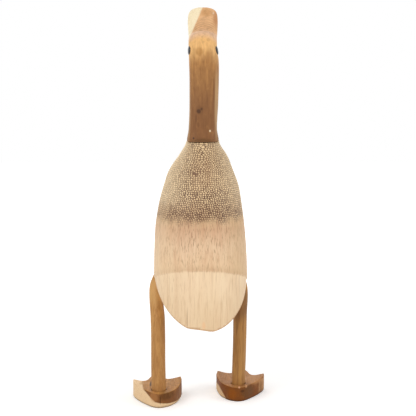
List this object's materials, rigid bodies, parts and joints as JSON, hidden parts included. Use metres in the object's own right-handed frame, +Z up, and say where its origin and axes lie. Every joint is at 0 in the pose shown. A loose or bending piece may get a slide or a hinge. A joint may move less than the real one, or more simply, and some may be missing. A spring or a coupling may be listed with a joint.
{
  "type": "bamboo root duck carving",
  "caption": "Tall standing duck figurine: sanded bamboo root body with an oblique saw cut as its tail, doweled hardwood neck and head with raised bill, slim legs and webbed feet.",
  "frame": {"origin": "on the surface the duck stands on, under the middle of its overall box", "axes": "+Z up the neck, -Y the way the duck faces, +X to the duck's left"},
  "size_m": [0.1472, 0.1386, 0.4303],
  "materials": {
    "bamboo_root": "sanded, satin lacquer",
    "carved_hardwood": "sanded, satin lacquer",
    "dowel_wood": "plain turned",
    "black_plug": "black stain, satin",
    "leg_hardwood": "whittled, satin lacquer",
    "foot_hardwood": "carved, satin lacquer"
  },
  "bodies": {
    "root": {"body": "bamboo_root", "head_and_neck": "carved_hardwood", "neck_dowel": "dowel_wood", "eye_left": "black_plug", "eye_right": "black_plug", "leg_left": "leg_hardwood", "leg_right": "leg_hardwood", "foot_left": "foot_hardwood", "foot_right": "foot_hardwood"}
  },
  "joints": []
}
